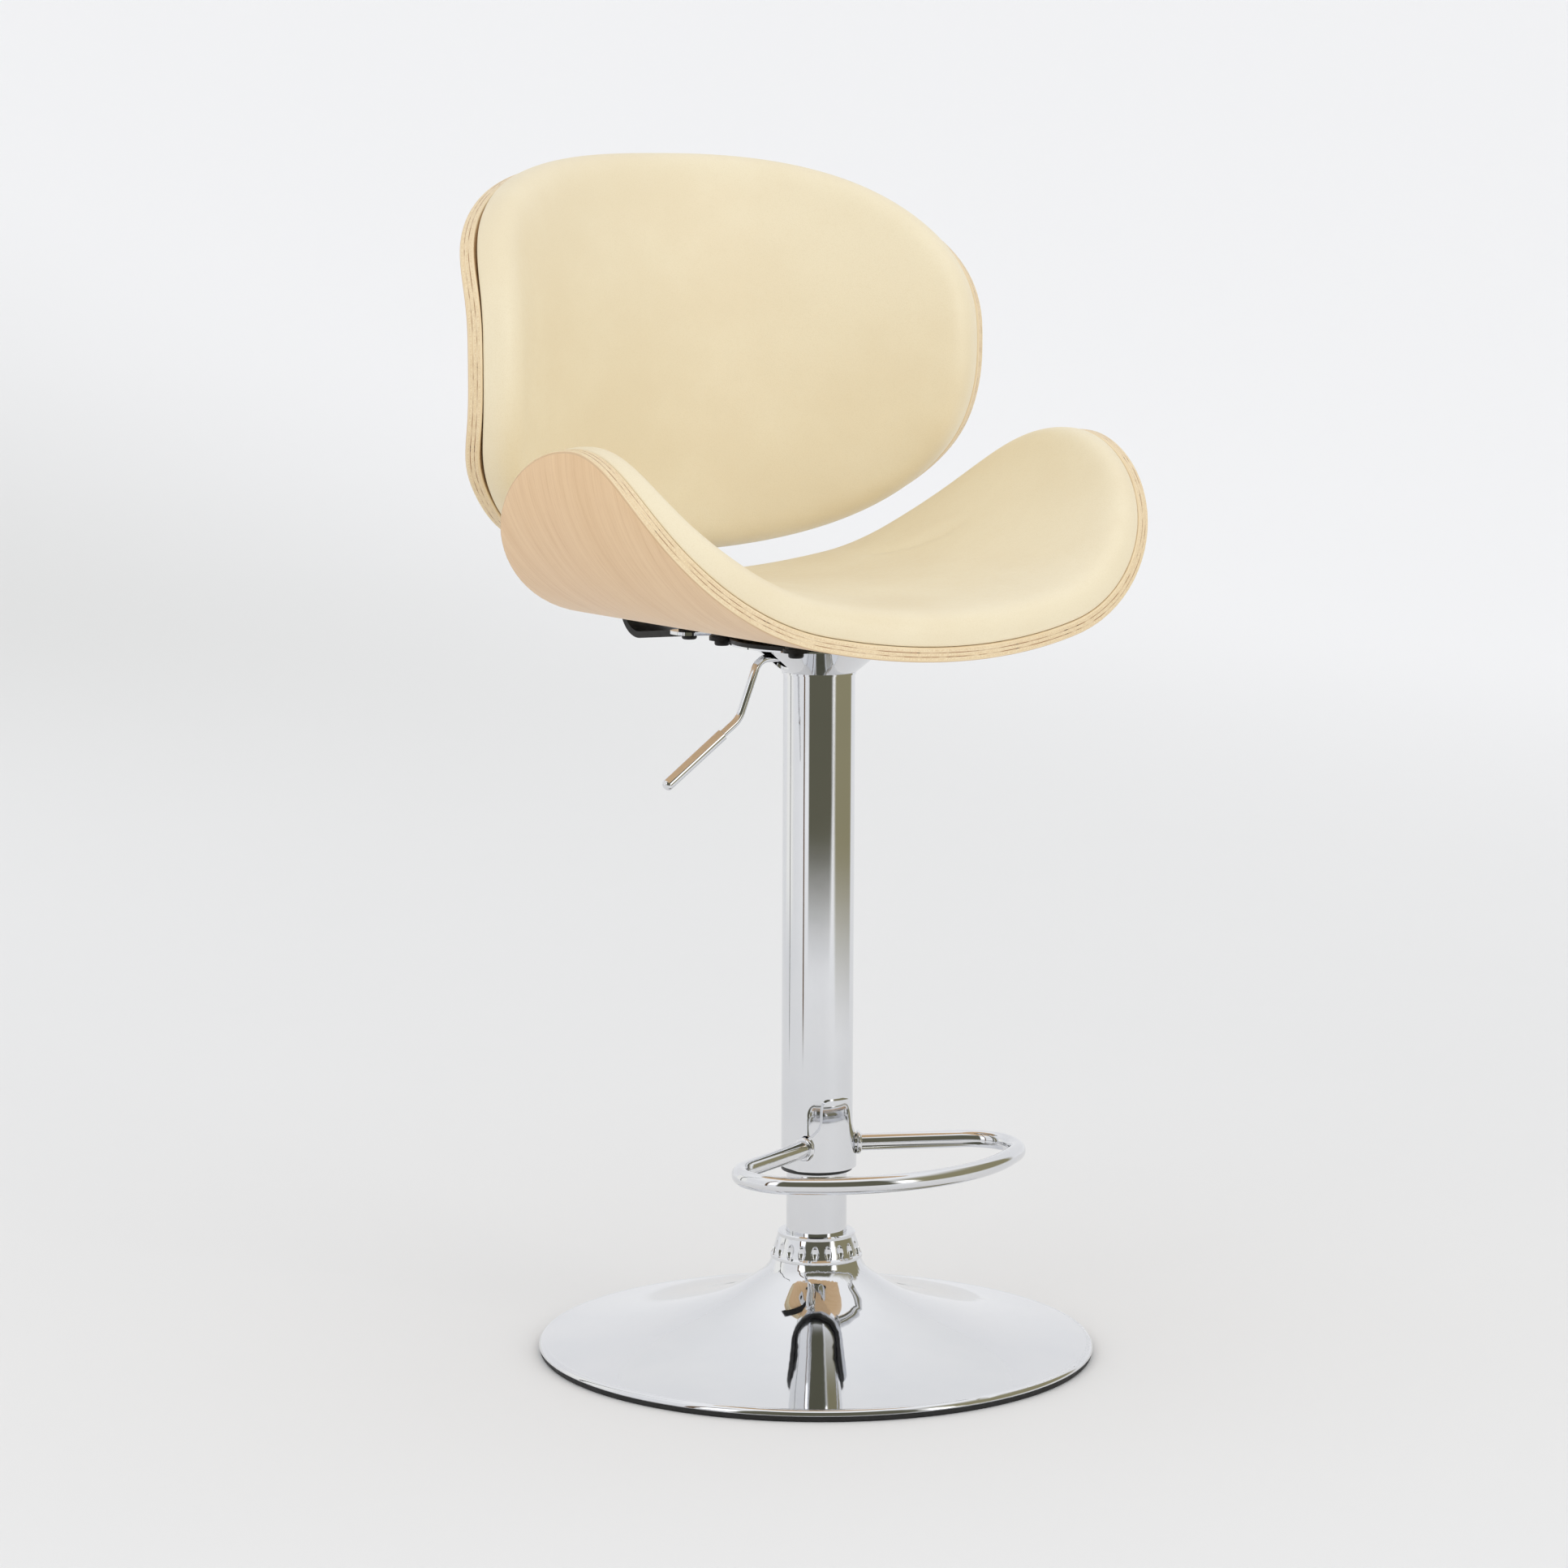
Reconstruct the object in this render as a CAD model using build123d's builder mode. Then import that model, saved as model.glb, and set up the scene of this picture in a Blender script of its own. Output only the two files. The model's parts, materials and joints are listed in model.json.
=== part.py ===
"""Adjustable swivel bar stool: trumpet base, gas lift in a chrome sleeve, bent-ply seat and back.

Millimetres, +Z up. The origin is on the floor, on the column's axis. The sitter faces -Y,
so -X is the sitter's right hand, where the height lever is. The seat is at its lowest.
"""

from build123d import *
import os
from math import cos, degrees, pi, radians, sin

os.makedirs("parts", exist_ok=True)

# ---------------------------------------------------------------- driving dimensions
# base
base_radius = 205.0            # outer edge of the chrome dish
neck_radius = 33.0             # dish at its top, under the collar
neck_z = 70.0
collar_top_z = 90.0
collar_dimples = 20

# column and gas lift
column_radius = 22.35          # fixed stand tube
column_wall = 2.5
column_bottom_z = 10.0
column_top_z = 400.0
cylinder_radius = 14.0         # gas cylinder
cylinder_wall = 2.0
cylinder_bottom_z = 50.0
cylinder_top_z = 506.0
rod_radius = 5.0               # piston rod
stroke = 210.0                 # height adjustment
sleeve_radius = 26.3           # chrome sleeve that carries the footrest
sleeve_wall = 1.5
sleeve_bottom_z = 139.0
sleeve_top_z = 503.5
running_gap = 0.05             # radial clearance of a running fit

# footrest
footrest_z = 156.3
footrest_tube_radius = 6.35
footrest_wall = 1.5
footrest_half_width = 113.6    # to the tube's centre line
footrest_apex = 180.0          # where the two halves of the front bar would meet if they were straight
saddle_top_z = 192.0
saddle_sheet = 3.0

# hub, lever and bracket
plate_thick = 3.0              # round plate with a lug at each bolt
lug_radius = 9.5
bolt_x, bolt_y = 53.0, 48.0    # mounting plate bolts, from the axis
foot_bolt_y = 92.0             # bolts through the back bracket's foot
bolt_shank_radius = 3.0
bell_top_radius = 50.0
bell_rim_radius = 65.4
lever_z = 516.9                # lever wire where it leaves the hub
lever_wire_radius = 3.0
lever_grip_radius = 4.4
lever_pivot_x = -26.0
lever_swing = 7.5              # degrees
bracket_width = 40.0
bracket_thick = 5.0
foot_thick = 2.5
bracket_top_z = 722.0
back_bolt_z = (620.0, 660.0, 700.0)

# seat: a bent sheet, gently dished in the middle and turned up into two wings
ply = 10.5
seat_z = 529.0                 # underside of the seat on the axis
seat_mid_radius = 523.0
seat_mid_half = 110.0          # half length of the gentle middle, along the bend
seat_wing_radius = 153.0
seat_half_length = 301.5       # half length of the whole sheet, along the bend
seat_centre_y = -22.5          # the widest place
seat_front = 154.0             # from there to the front edge
seat_rear = 200.0              # and to the rear edge

# back: a sheet bent round the sitter, leaning back towards its top
back_axis_y = -35.0
back_radius = 261.0            # front face of the sheet, below the lean
back_half_angle = 57.0         # how far round the sheet reaches
back_centre_z = 731.0          # the widest place
back_rise = 140.0              # from there to the top edge
back_drop = 156.0              # and to the bottom edge
lean_start_z = 748.0
lean_radius = 400.0
lean_angle = 10.0

# upholstery on both sheets
pad_gap = 1.6                  # the board stands off the sheet by this
board_thick = 3.0
pad_thick = 24.0
pad_inset = 1.0                # the pad's edge, inside the sheet's edge

assembly = []


def finish(name, label):
    """Label a finished piece and write it to its own file."""
    name.part.label = label
    export_step(name.part, f"parts/{label}.step")
    assembly.append(name.part)


# ---------------------------------------------------------------- base
ring_top_z = 4.3
dish_thick = 2.0
dish_outside = [
    (base_radius - 5, 8.6), (150, 16.6), (100, 29.7), (60, 45.8), (45, 55.5), (37.6, 61.4), (neck_radius, neck_z),
]

with BuildPart() as base_shell:
    # half section: a trumpet curve, the same curve inside it, and a rolled rim
    with BuildSketch(Plane.XZ):
        with BuildLine():
            outside = Spline(*dish_outside, tangents=[(-1, 0.12), (-0.3, 1)])
            stations = [step / 8 for step in range(9)]
            within = [outside @ t + (outside % t).rotate(Axis.Z, 90) * dish_thick for t in stations]
            inside = Spline(*within, tangents=[outside % 0, outside % 1])
            Line(outside @ 1, inside @ 1)
            rim = ThreePointArc(outside @ 0, (base_radius - 1.4, 7.6), (base_radius, 4.9))
            under = Polyline(rim @ 1, (base_radius - 0.5, ring_top_z), (base_radius - 1.8, ring_top_z))
            ThreePointArc(under @ 1, (base_radius - 2.8, 5.9), inside @ 0)
        make_face()
    revolve(axis=Axis.Z)
finish(base_shell, "base_shell")

with BuildPart() as rim_ring:
    # a rubber ring with a tongue inside the rim's lip
    with BuildSketch(Plane.XZ):
        with BuildLine():
            Polyline(
                (base_radius - 9, 0.8), (base_radius - 8.2, 0), (base_radius - 2.2, 0), (base_radius - 1.0, 1.2),
                (base_radius - 0.8, ring_top_z), (base_radius - 3.6, ring_top_z),
                (base_radius - 3.6, ring_top_z + 1.1), (base_radius - 9, ring_top_z + 1.1), close=True,
            )
        make_face()
    revolve(axis=Axis.Z)
finish(rim_ring, "rim_ring")

ballast_top_z = 8.0
with BuildPart() as ballast_plate:
    with BuildSketch(Plane.XY.offset(1.0)):
        Circle(160)
        Circle(28, mode=Mode.SUBTRACT)
    extrude(amount=ballast_top_z - 1.0)
    chamfer(ballast_plate.edges().group_by(Axis.Z)[-1], 1.5)
finish(ballast_plate, "ballast_plate")

with BuildPart() as base_socket:
    with BuildSketch(Plane.XY.offset(ballast_top_z)):
        Circle(44)
    extrude(amount=4)
    with BuildSketch(Plane.XY.offset(ballast_top_z)):
        Circle(28)
    extrude(amount=neck_z - ballast_top_z - 1)
    with BuildSketch(Plane.XY.offset(ballast_top_z)):
        Circle(column_radius)
    extrude(amount=neck_z, mode=Mode.SUBTRACT)
    with BuildSketch(Plane.XY.offset(ballast_top_z)):
        with PolarLocations(36, 4):
            Circle(3.2)
    extrude(amount=4, mode=Mode.SUBTRACT)
finish(base_socket, "base_socket")

with BuildPart() as socket_screws:
    with BuildSketch(Plane.XY.offset(ballast_top_z + 4)):
        with PolarLocations(36, 4):
            RegularPolygon(5.5, 6)
    extrude(amount=4)
    with BuildSketch(Plane.XY.offset(ballast_top_z)):
        with PolarLocations(36, 4):
            Circle(3.1)
    extrude(amount=4.2)
finish(socket_screws, "socket_screws")

with BuildPart() as dimple:
    with BuildSketch(Plane.XZ):
        Ellipse(3.4, 7.6)
        Rectangle(8, 16, align=(Align.MAX, Align.CENTER), mode=Mode.SUBTRACT)
    revolve(axis=Axis.Z)

with BuildPart() as collar:
    with BuildSketch(Plane.XZ):
        with BuildLine():
            Polyline(
                (column_radius + 0.1, neck_z), (neck_radius - 1.0, neck_z), (neck_radius, neck_z), (neck_radius + 1.0, neck_z + 0.8),
                (neck_radius + 0.9, neck_z + 2.4), (neck_radius - 0.6, neck_z + 3.8), (28.6, collar_top_z - 3.0), (28.7, collar_top_z - 0.8),
                (27.6, collar_top_z), (column_radius + 0.1, collar_top_z), close=True,
            )
        make_face()
    revolve(axis=Axis.Z)
    # a ring of upright dimples
    with PolarLocations(neck_radius - 0.6, collar_dimples):
        with Locations((0, 0, (neck_z + collar_top_z) / 2)):
            add(dimple.part, mode=Mode.SUBTRACT)
finish(collar, "collar")

# ---------------------------------------------------------------- column and gas lift
with BuildPart() as column_tube:
    with BuildSketch(Plane.XY.offset(column_bottom_z)):
        Circle(column_radius)
        Circle(column_radius - column_wall, mode=Mode.SUBTRACT)
    extrude(amount=column_top_z - column_bottom_z)
    fillet(column_tube.edges().group_by(Axis.Z)[-1].sort_by(SortBy.RADIUS)[-1], 0.8)
finish(column_tube, "column_tube")

column_bore = column_radius - column_wall
floor_low_z, floor_high_z = 14.0, 20.0
with BuildPart() as column_floor:
    with BuildSketch(Plane.XY.offset(floor_low_z)):
        Circle(column_bore)
        Circle(rod_radius + running_gap, mode=Mode.SUBTRACT)
    extrude(amount=floor_high_z - floor_low_z)
finish(column_floor, "column_floor")

race_outer, race_inner, race_thick = 15.0, 6.0, 2.0
with BuildPart() as lower_race:
    with BuildSketch(Plane.XY.offset(floor_high_z)):
        Circle(race_outer)
        Circle(race_inner, mode=Mode.SUBTRACT)
    extrude(amount=race_thick)
finish(lower_race, "lower_race")

ball_radius = 1.75
ball_z = floor_high_z + race_thick + ball_radius
with BuildPart() as bearing_balls:
    with PolarLocations(10.5, 10):
        with Locations((0, 0, ball_z)):
            Sphere(ball_radius)
finish(bearing_balls, "bearing_balls")

upper_race_z = ball_z + ball_radius + 0.05
with BuildPart() as upper_race:
    with BuildSketch(Plane.XY.offset(upper_race_z)):
        Circle(race_outer)
        Circle(rod_radius, mode=Mode.SUBTRACT)
    extrude(amount=race_thick)
finish(upper_race, "upper_race")

bumper_low_z = upper_race_z + race_thick
with BuildPart() as bump_stop:
    with BuildSketch(Plane.XY.offset(bumper_low_z)):
        Circle(12)
        Circle(rod_radius, mode=Mode.SUBTRACT)
    extrude(amount=cylinder_bottom_z - 0.1 - bumper_low_z)
    fillet(bump_stop.edges().group_by(Axis.Z)[-1].sort_by(SortBy.RADIUS)[-1], 2)
finish(bump_stop, "bump_stop")

gland_top_z = cylinder_bottom_z + 12
piston_low_z = gland_top_z + stroke + 0.5
with BuildPart() as piston_rod:
    with BuildSketch(Plane.XY.offset(11)):
        Circle(rod_radius)
    extrude(amount=piston_low_z + 20 - 11)
    # groove for the retaining clip
    with BuildSketch(Plane.XY.offset(12.2)):
        Circle(rod_radius)
        Circle(rod_radius - 1, mode=Mode.SUBTRACT)
    extrude(amount=1.4, mode=Mode.SUBTRACT)
    chamfer(piston_rod.edges().group_by(Axis.Z)[0], 0.6)
finish(piston_rod, "piston_rod")

with BuildPart() as rod_clip:
    with BuildSketch(Plane.XY.offset(12.2)):
        Circle(9)
        Circle(rod_radius - 1, mode=Mode.SUBTRACT)
        with Locations((0, -7)):
            Rectangle(4, 8, mode=Mode.SUBTRACT)
    extrude(amount=1.4)
finish(rod_clip, "rod_clip")

cylinder_bore = cylinder_radius - cylinder_wall
with BuildPart() as piston:
    with BuildSketch(Plane.XY.offset(piston_low_z)):
        Circle(cylinder_bore - running_gap)
        Circle(rod_radius, mode=Mode.SUBTRACT)
    extrude(amount=16)
finish(piston, "piston")

with BuildPart() as gas_cylinder:
    with BuildSketch(Plane.XY.offset(cylinder_bottom_z)):
        Circle(cylinder_radius)
        Circle(cylinder_bore, mode=Mode.SUBTRACT)
    extrude(amount=cylinder_top_z - cylinder_bottom_z)
finish(gas_cylinder, "gas_cylinder")

with BuildPart() as rod_gland:
    with BuildSketch(Plane.XY.offset(cylinder_bottom_z)):
        Circle(cylinder_bore)
        Circle(rod_radius + running_gap, mode=Mode.SUBTRACT)
    extrude(amount=gland_top_z - cylinder_bottom_z)
finish(rod_gland, "rod_gland")

button_radius = 3.0
with BuildPart() as cylinder_head:
    with BuildSketch(Plane.XY.offset(cylinder_top_z - 24)):
        Circle(cylinder_bore)
        Circle(button_radius + running_gap, mode=Mode.SUBTRACT)
    extrude(amount=24)
finish(cylinder_head, "cylinder_head")

with BuildPart() as guide_bush:
    with BuildSketch(Plane.XY.offset(column_top_z - 70)):
        Circle(column_bore)
    extrude(amount=70)
    with BuildSketch(Plane.XY.offset(column_top_z)):
        Circle(column_radius)
    extrude(amount=2.5)
    with BuildSketch(Plane.XY.offset(column_top_z - 70)):
        Circle(cylinder_radius + running_gap)
    extrude(amount=75, mode=Mode.SUBTRACT)
finish(guide_bush, "guide_bush")

# ---------------------------------------------------------------- sleeve and footrest
with BuildPart() as outer_sleeve:
    with BuildSketch(Plane.XY.offset(sleeve_bottom_z)):
        Circle(sleeve_radius)
        Circle(sleeve_radius - sleeve_wall, mode=Mode.SUBTRACT)
    extrude(amount=sleeve_top_z - sleeve_bottom_z)
finish(outer_sleeve, "outer_sleeve")

with BuildPart() as sleeve_end_ring:
    with BuildSketch(Plane.XZ):
        with BuildLine():
            Polyline(
                (column_radius + 0.4, sleeve_bottom_z - 3), (sleeve_radius, sleeve_bottom_z - 3),
                (sleeve_radius, sleeve_bottom_z), (sleeve_radius - sleeve_wall, sleeve_bottom_z),
                (sleeve_radius - sleeve_wall, sleeve_bottom_z + 12),
                (column_radius + 0.4, sleeve_bottom_z + 12), close=True,
            )
        make_face()
    revolve(axis=Axis.Z)
    fillet(sleeve_end_ring.edges().group_by(Axis.Z)[0].sort_by(SortBy.RADIUS)[-1], 0.8)
finish(sleeve_end_ring, "sleeve_end_ring")

rod_start = (20.0, -16.5)      # where each rod meets the sleeve


def footrest_path():
    """Centre line of the D-shaped loop, from one side of the sleeve round to the other."""
    with BuildLine(Plane.XY.offset(footrest_z)) as path:
        FilletPolyline(
            (-rod_start[0], rod_start[1]), (-footrest_half_width - 4, -60.8), (-footrest_half_width + 3, -104),
            (0, -footrest_apex), (footrest_half_width - 3, -104), (footrest_half_width + 4, -60.8),
            (rod_start[0], rod_start[1]), radius=[32.6, 41.8, 150, 41.8, 32.6],
        )
    return path


with BuildPart() as footrest_loop:
    loop_path = footrest_path()
    with BuildSketch(Plane(loop_path.line @ 0, z_dir=loop_path.line % 0)):
        Circle(footrest_tube_radius)
        Circle(footrest_tube_radius - footrest_wall, mode=Mode.SUBTRACT)
    sweep(path=loop_path.line)
    # the rods' ends follow the saddle's outside
    with BuildSketch(Plane.XY.offset(footrest_z - 20)):
        Circle(sleeve_radius + saddle_sheet)
    extrude(amount=40, mode=Mode.SUBTRACT)
finish(footrest_loop, "footrest_loop")

with BuildPart() as footrest_saddle:
    with BuildSketch(Plane.XY.offset(sleeve_bottom_z)):
        Circle(sleeve_radius + saddle_sheet)
        Circle(sleeve_radius, mode=Mode.SUBTRACT)
    extrude(amount=saddle_top_z - sleeve_bottom_z)
    with BuildSketch(Plane.XZ):
        with BuildLine():
            top = Line((-8, saddle_top_z), (8, saddle_top_z))
            right = Spline(
                top @ 1, (12.6, saddle_top_z - 5), (14, footrest_z + 16), (19.5, footrest_z + 8),
                (25.5, footrest_z - 4), tangents=[(1, 0), (0.3, -1)],
            )
            low = Polyline(right @ 1, (26, sleeve_bottom_z), (-26, sleeve_bottom_z), (-25.5, footrest_z - 4))
            Spline(
                low @ 1, (-19.5, footrest_z + 8), (-14, footrest_z + 16), (-12.6, saddle_top_z - 5),
                top @ 0, tangents=[(0.3, 1), (1, 0)],
            )
        make_face()
    extrude(amount=60, mode=Mode.INTERSECT)
finish(footrest_saddle, "footrest_saddle")

with BuildPart() as footrest_welds:
    for end in (0, 1):
        seat_on = loop_path.line @ end
        along = (loop_path.line % end) * (1 if end == 0 else -1)
        bead_plane = Plane(Vector(*seat_on) + Vector(*along) * 4.5, z_dir=along)
        with Locations(bead_plane):
            Torus(footrest_tube_radius + 0.6, 1.9)
    with BuildSketch(Plane.XY.offset(footrest_z - 20)):
        Circle(sleeve_radius + saddle_sheet)
    extrude(amount=40, mode=Mode.SUBTRACT)
    add(footrest_loop.part, mode=Mode.SUBTRACT)
    for end in (0, 1):
        bore_plane = Plane(loop_path.line @ end, z_dir=loop_path.line % end)
        with Locations(bore_plane):
            Cylinder(footrest_tube_radius, 60, mode=Mode.SUBTRACT)
finish(footrest_welds, "footrest_welds")

# ---------------------------------------------------------------- hub under the seat
plate_low_z = seat_z - plate_thick
bolt_spots = [(x, y) for x in (-bolt_x, bolt_x) for y in (-bolt_y, bolt_y)]
foot_spots = [(-bolt_x, foot_bolt_y), (bolt_x, foot_bolt_y)]

with BuildPart() as hub_bell:
    # a thin cone with a flat rim, and a rolled lip round the sleeve
    with BuildSketch(Plane.XZ):
        with BuildLine():
            Polyline(
                (sleeve_radius - 1.4, sleeve_top_z), (sleeve_radius + 0.9, sleeve_top_z),
                (sleeve_radius + 0.9, sleeve_top_z + 1.4), (bell_top_radius, plate_low_z - 2.2),
                (bell_rim_radius, plate_low_z - 1.3), (bell_rim_radius, plate_low_z),
                (bell_top_radius - 1.2, plate_low_z - 0.9), (sleeve_radius - 1.4, sleeve_top_z + 2.6),
                close=True,
            )
        make_face()
    revolve(axis=Axis.Z)
    # the opening that the lever passes through
    with BuildSketch(Plane.XY.offset(sleeve_top_z + 4.5)):
        with Locations((-44, 0)):
            RectangleRounded(30, 14, 4)
    extrude(amount=17, mode=Mode.SUBTRACT)
finish(hub_bell, "hub_bell")

with BuildPart() as mounting_plate:
    with BuildSketch(Plane.XY.offset(plate_low_z)):
        Circle(bell_rim_radius)
        with Locations(bolt_spots):
            Circle(lug_radius)
            Circle(bolt_shank_radius + 0.2, mode=Mode.SUBTRACT)
    extrude(amount=plate_thick)
finish(mounting_plate, "mounting_plate")

socket_low_z = cylinder_top_z - 26
with BuildPart() as hub_socket:
    with BuildSketch(Plane.XY.offset(socket_low_z)):
        Circle(20)
        Circle(cylinder_radius, mode=Mode.SUBTRACT)
    extrude(amount=plate_low_z - socket_low_z)
    # room for the lever wire
    with BuildSketch(Plane.XY.offset(cylinder_top_z + 3)):
        with Locations((-15, 0)):
            Rectangle(30, 9)
    extrude(amount=plate_low_z - cylinder_top_z - 3, mode=Mode.SUBTRACT)
finish(hub_socket, "hub_socket")

ear_inside, ear_thick = 3.4, 2.5
with BuildPart() as lever_ears:
    with BuildSketch(Plane.XZ.offset(ear_inside)):
        with BuildLine():
            Polyline(
                (lever_pivot_x - 5, plate_low_z), (lever_pivot_x - 5, lever_z - 1),
                (lever_pivot_x - 2, lever_z - 4), (lever_pivot_x + 2, lever_z - 4),
                (lever_pivot_x + 5, lever_z - 1), (lever_pivot_x + 5, plate_low_z), close=True,
            )
        make_face()
        with Locations((lever_pivot_x, lever_z)):
            Circle(1.5, mode=Mode.SUBTRACT)
    extrude(amount=ear_thick)
    mirror(about=Plane.XZ)
finish(lever_ears, "lever_ears")

with BuildPart() as lever_pin:
    with BuildSketch(Plane.XZ.offset(-ear_inside - ear_thick)):
        with Locations((lever_pivot_x, lever_z)):
            Circle(1.5)
    extrude(amount=2 * (ear_inside + ear_thick))
finish(lever_pin, "lever_pin")

# ---------------------------------------------------------------- height lever
wire_points = [(1.0, lever_z), (-53.0, lever_z), (-70.0, 474.0), (-130.0, 431.5)]
with BuildPart() as lever_rod:
    with BuildLine(Plane.XZ):
        wire = FilletPolyline(*wire_points, radius=[12, 20])
    with BuildSketch(Plane(wire @ 0, z_dir=wire % 0)):
        Circle(lever_wire_radius)
    sweep()
    with BuildSketch(Plane.XZ.offset(-10)):
        with Locations((lever_pivot_x, lever_z)):
            Circle(1.5 + running_gap)
    extrude(amount=20, mode=Mode.SUBTRACT)
finish(lever_rod, "lever_rod")

grip_length, grip_cap = 56.5, 4.0
grip_axis = wire % 1
grip_start = (wire @ 1) - grip_axis * grip_length
with BuildPart() as lever_grip:
    with BuildSketch(Plane(grip_start, z_dir=grip_axis)):
        Circle(lever_grip_radius)
    extrude(amount=grip_length + grip_cap)
    fillet(lever_grip.faces().sort_by(Axis.X)[0].edges(), 3.6)
    chamfer(lever_grip.faces().sort_by(Axis.X)[-1].edges(), 0.5)
    with BuildSketch(Plane(grip_start, z_dir=grip_axis)):
        Circle(lever_wire_radius)
    extrude(amount=grip_length, mode=Mode.SUBTRACT)
finish(lever_grip, "lever_grip")

button_top_z = lever_z - lever_wire_radius - 0.2
with BuildPart() as release_button:
    with BuildSketch(Plane.XY.offset(cylinder_top_z - 20)):
        Circle(button_radius)
    extrude(amount=button_top_z - button_radius - cylinder_top_z + 20)
    with Locations((0, 0, button_top_z - button_radius)):
        Sphere(button_radius)
finish(release_button, "release_button")

# ---------------------------------------------------------------- back bracket: a flat bar bent into a J
back_rear_y = back_axis_y + back_radius + ply        # rear face of the back sheet, on the centre line
bar_top_z = seat_z - foot_thick
with BuildPart() as bracket_foot:
    # a strap under the seat, welded on top of the bar, with a bolt at each end
    with BuildSketch(Plane.XY.offset(bar_top_z)):
        with Locations((0, foot_bolt_y)):
            RectangleRounded(2 * bolt_x + 26, 26, 10)
        with Locations(foot_spots):
            Circle(bolt_shank_radius + 0.2, mode=Mode.SUBTRACT)
    extrude(amount=foot_thick)
finish(bracket_foot, "bracket_foot")

with BuildPart() as back_bracket:
    with BuildSketch(Plane.YZ.offset(-bracket_width / 2)):
        with BuildLine():
            FilletPolyline(
                (bell_rim_radius + 6, bar_top_z - bracket_thick), (foot_bolt_y + 22, bar_top_z - bracket_thick),
                (back_rear_y + bracket_thick, 507.0), (back_rear_y + bracket_thick, bracket_top_z), radius=[40, 26],
            )
            offset(amount=bracket_thick, side=Side.LEFT, closed=True)
        make_face()
    extrude(amount=bracket_width)
    with BuildSketch(Plane.XZ.offset(-back_rear_y + 5)):
        with Locations([(0, z) for z in back_bolt_z]):
            Circle(bolt_shank_radius + 0.2)
    extrude(amount=-30, mode=Mode.SUBTRACT)
    fillet(back_bracket.edges().filter_by(Axis.Y).group_by(Axis.Z)[-1], 14)
finish(back_bracket, "back_bracket")

# ---------------------------------------------------------------- seat
mid_bend = seat_mid_half / seat_mid_radius            # how far the gentle middle turns, in radians


def seat_section(along, rise):
    """(x, z) at a distance along the bend from the axis, raised off the underside by rise."""
    bend = min(along, seat_mid_half) / seat_mid_radius
    curl = max(along - seat_mid_half, 0) / seat_wing_radius
    mid, wing = seat_mid_radius - rise, seat_wing_radius - rise
    x = mid * sin(bend) + wing * (sin(bend + curl) - sin(bend))
    z = seat_z + seat_mid_radius - mid * cos(bend) - wing * (cos(bend + curl) - cos(bend))
    return x, z


def seat_bend(rise):
    """The bent surface, untrimmed: a gentle arc with a tighter arc on each side."""
    wing_turn = (seat_half_length - seat_mid_half) / seat_wing_radius + 0.12
    shift = seat_mid_radius - seat_wing_radius
    with BuildLine(Plane.XZ.offset(250)) as bend:
        CenterArc(
            (0, seat_z + seat_mid_radius), seat_mid_radius - rise, -90 - degrees(mid_bend), 2 * degrees(mid_bend)
        )
        for side, first in ((1, mid_bend), (-1, -mid_bend - wing_turn)):
            centre = (side * shift * sin(mid_bend), seat_z + seat_mid_radius - shift * cos(mid_bend))
            CenterArc(centre, seat_wing_radius - rise, -90 + degrees(first), degrees(wing_turn))
    return Shell.extrude(bend.wires()[0], (0, 500, 0))


def seat_side_view(rise, inset):
    """The sheet is an ellipse when flat. This solid is its side view when bent, pushed out along X."""
    reach = seat_half_length - inset
    steps = 7
    edges = []
    for side, depth in ((-1, seat_front - inset), (1, seat_rear - inset)):
        edge = []
        for step in range(1, steps + 1):
            turn = pi / 2 * step / steps
            edge.append((seat_centre_y + side * depth * sin(turn), seat_section(reach * cos(turn), rise)[1]))
        # carry the edge on below the sheet, at its own slope
        fall = reach**2 * (seat_mid_radius - rise) / (seat_mid_radius**2 * depth)
        overrun = 8
        edge.append((edge[-1][0] + side * overrun, edge[-1][1] - overrun * fall))
        edges.append(edge)
    tip = (seat_centre_y, seat_section(reach, rise)[1])
    with BuildPart() as side_view:
        with BuildSketch(Plane.YZ):
            with BuildLine():
                rim_line = Spline(*reversed(edges[0]), tip, *edges[1])
                Line(rim_line @ 1, rim_line @ 0)
            make_face()
        extrude(amount=300, both=True)
    return side_view.part


def seat_layer(rise, thick, inset):
    """A layer of the seat that starts rise above the underside, with edges square to the surface."""
    faces = seat_bend(rise).intersect(seat_side_view(rise, inset)).faces()
    return Solid.thicken(Shell(faces), -thick)


board_rise = ply + pad_gap
pad_rise = board_rise + board_thick
seat_bolt_spots = bolt_spots + foot_spots
nut_barrel_radius, nut_flange_radius, nut_flange_thick = 4.1, 9.0, 1.5
nut_z = seat_section(bolt_x + nut_flange_radius + 4, pad_rise)[1]     # underside of the nuts' flanges

with BuildPart() as seat_shell:
    add(seat_layer(0, ply, 0))
    with BuildSketch(Plane.XY.offset(seat_z - 5)):
        with Locations(seat_bolt_spots):
            Circle(nut_barrel_radius)
    extrude(amount=40, mode=Mode.SUBTRACT)
finish(seat_shell, "seat_shell")

with BuildPart() as seat_pad_board:
    add(seat_layer(board_rise, board_thick, pad_inset + 3))
    with BuildSketch(Plane.XY.offset(seat_z)):
        with Locations(seat_bolt_spots):
            Circle(nut_barrel_radius)
    extrude(amount=40, mode=Mode.SUBTRACT)
finish(seat_pad_board, "seat_pad_board")

with BuildPart() as seat_pad:
    add(seat_layer(pad_rise, pad_thick, pad_inset))
    # hollows over the nuts
    with BuildSketch(Plane.XY.offset(seat_z + ply)):
        with Locations(seat_bolt_spots):
            Circle(nut_flange_radius + 1)
    extrude(amount=nut_z + nut_flange_thick + 1 - seat_z - ply, mode=Mode.SUBTRACT)
finish(seat_pad, "seat_pad")

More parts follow.
